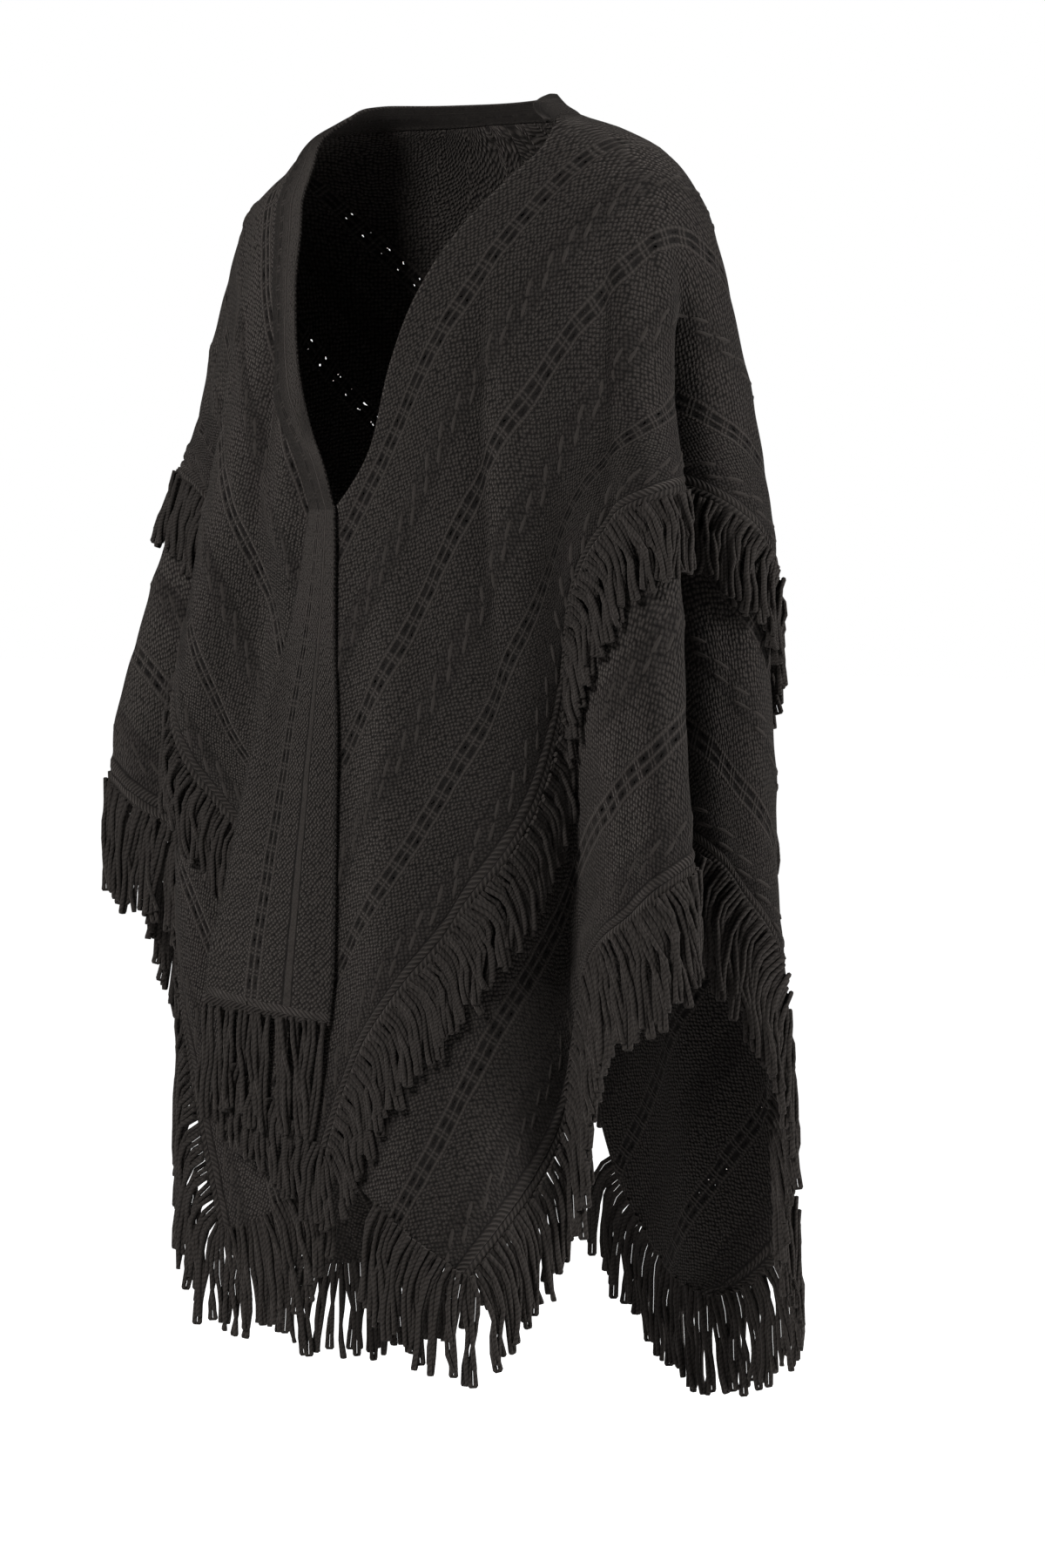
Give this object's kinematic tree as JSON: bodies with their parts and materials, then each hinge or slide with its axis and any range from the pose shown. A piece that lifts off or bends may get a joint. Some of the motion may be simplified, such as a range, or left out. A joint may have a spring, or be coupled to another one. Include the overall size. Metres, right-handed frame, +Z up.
{
  "type": "fringed two-tier knitted poncho with scarf collar",
  "caption": "Open-front knitted wool poncho, as worn, with fringed tiers on each side and a scarf collar that hangs down the front.",
  "frame": {"origin": "where the wearer's neck and shoulders carry the poncho: the middle of the neck hollow, level with the neck edge at the shoulders", "axes": "+Z up, -Y towards the wearer's front, +X towards the wearer's left"},
  "size_m": [0.6506, 0.3998, 1.0979],
  "materials": {
    "knitted_wool": "matte heavy knit, near black",
    "wool_yarn": "matte plied yarn, near black"
  },
  "bodies": {
    "root": {"left_upper_strip": "knitted_wool", "left_lower_strip": "knitted_wool", "right_upper_strip": "knitted_wool", "right_lower_strip": "knitted_wool", "collar_scarf": "knitted_wool", "left_upper_fringe": "wool_yarn", "left_lower_fringe": "wool_yarn", "right_upper_fringe": "wool_yarn", "right_lower_fringe": "wool_yarn", "scarf_fringe": "wool_yarn"}
  },
  "joints": []
}
